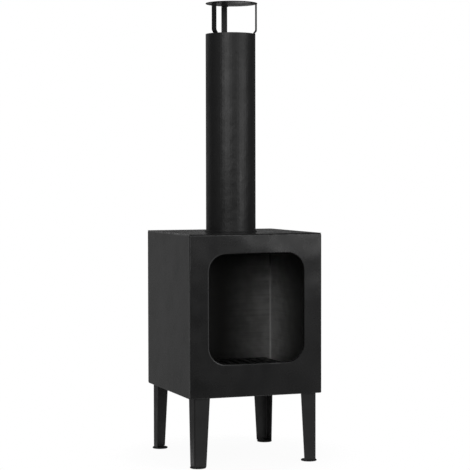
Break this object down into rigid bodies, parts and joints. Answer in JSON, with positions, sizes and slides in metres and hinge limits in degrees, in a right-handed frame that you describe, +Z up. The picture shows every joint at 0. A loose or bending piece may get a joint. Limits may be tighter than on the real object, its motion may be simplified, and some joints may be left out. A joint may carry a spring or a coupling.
{
  "type": "outdoor fireplace",
  "caption": "Square sheet-steel garden fireplace with an open front, a round chimney with a rain cap, and tapered angle legs on round feet.",
  "frame": {"origin": "on the floor, under the middle of the firebox", "axes": "+Z up along the chimney, the fire opening faces -Y, +X to the right seen from the front"},
  "size_m": [0.36, 0.36, 1.1978],
  "materials": {
    "black_paint": "satin black heat-resistant paint on sheet steel",
    "pipe_paint": "satin black heat-resistant paint on rolled pipe and strip",
    "leg_paint": "satin black paint on angle steel",
    "grate_paint": "dull black, meant to take the fire",
    "blacked_steel": "blacked hexagon bolts and nuts"
  },
  "bodies": {
    "firebox": {"front_panel": "black_paint", "back_panel": "black_paint", "left_side_panel": "black_paint", "right_side_panel": "black_paint", "top_plate": "black_paint", "bottom_plate": "black_paint", "flue_spigot": "black_paint", "pipe_foot_ring": "pipe_paint", "leg_front_left": "leg_paint", "leg_front_right": "leg_paint", "leg_back_right": "leg_paint", "leg_back_left": "leg_paint", "leg_plate_front_left": "leg_paint", "leg_plate_front_right": "leg_paint", "leg_plate_back_right": "leg_paint", "leg_plate_back_left": "leg_paint", "foot_plate_front_left": "leg_paint", "foot_plate_front_right": "leg_paint", "foot_plate_back_right": "leg_paint", "foot_plate_back_left": "leg_paint", "leg_bolt_front_left_1": "blacked_steel", "leg_bolt_front_left_2": "blacked_steel", "leg_bolt_front_right_1": "blacked_steel", "leg_bolt_front_right_2": "blacked_steel", "leg_bolt_back_right_1": "blacked_steel", "leg_bolt_back_right_2": "blacked_steel", "leg_bolt_back_left_1": "blacked_steel", "leg_bolt_back_left_2": "blacked_steel", "leg_nut_front_left_1": "blacked_steel", "leg_nut_front_left_2": "blacked_steel", "leg_nut_front_right_1": "blacked_steel", "leg_nut_front_right_2": "blacked_steel", "leg_nut_back_right_1": "blacked_steel", "leg_nut_back_right_2": "blacked_steel", "leg_nut_back_left_1": "blacked_steel", "leg_nut_back_left_2": "blacked_steel"},
    "chimney": {"chimney_pipe": "pipe_paint"},
    "rain_cap": {"rain_cap_disc": "pipe_paint", "cap_strip_1": "pipe_paint", "cap_strip_2": "pipe_paint", "cap_strip_3": "pipe_paint"},
    "grate": {"fire_grate": "grate_paint"}
  },
  "joints": [
    {"name": "chimney_lift", "type": "slide", "parent": "firebox", "child": "chimney", "axis": [0, 0, 1], "range_m": [0, 0.05]},
    {"name": "rain_cap_lift", "type": "slide", "parent": "chimney", "child": "rain_cap", "axis": [0, 0, 1], "range_m": [0, 0.04]},
    {"name": "grate_lift", "type": "slide", "parent": "firebox", "child": "grate", "axis": [0, 0, 1], "range_m": [0, 0.12]}
  ]
}
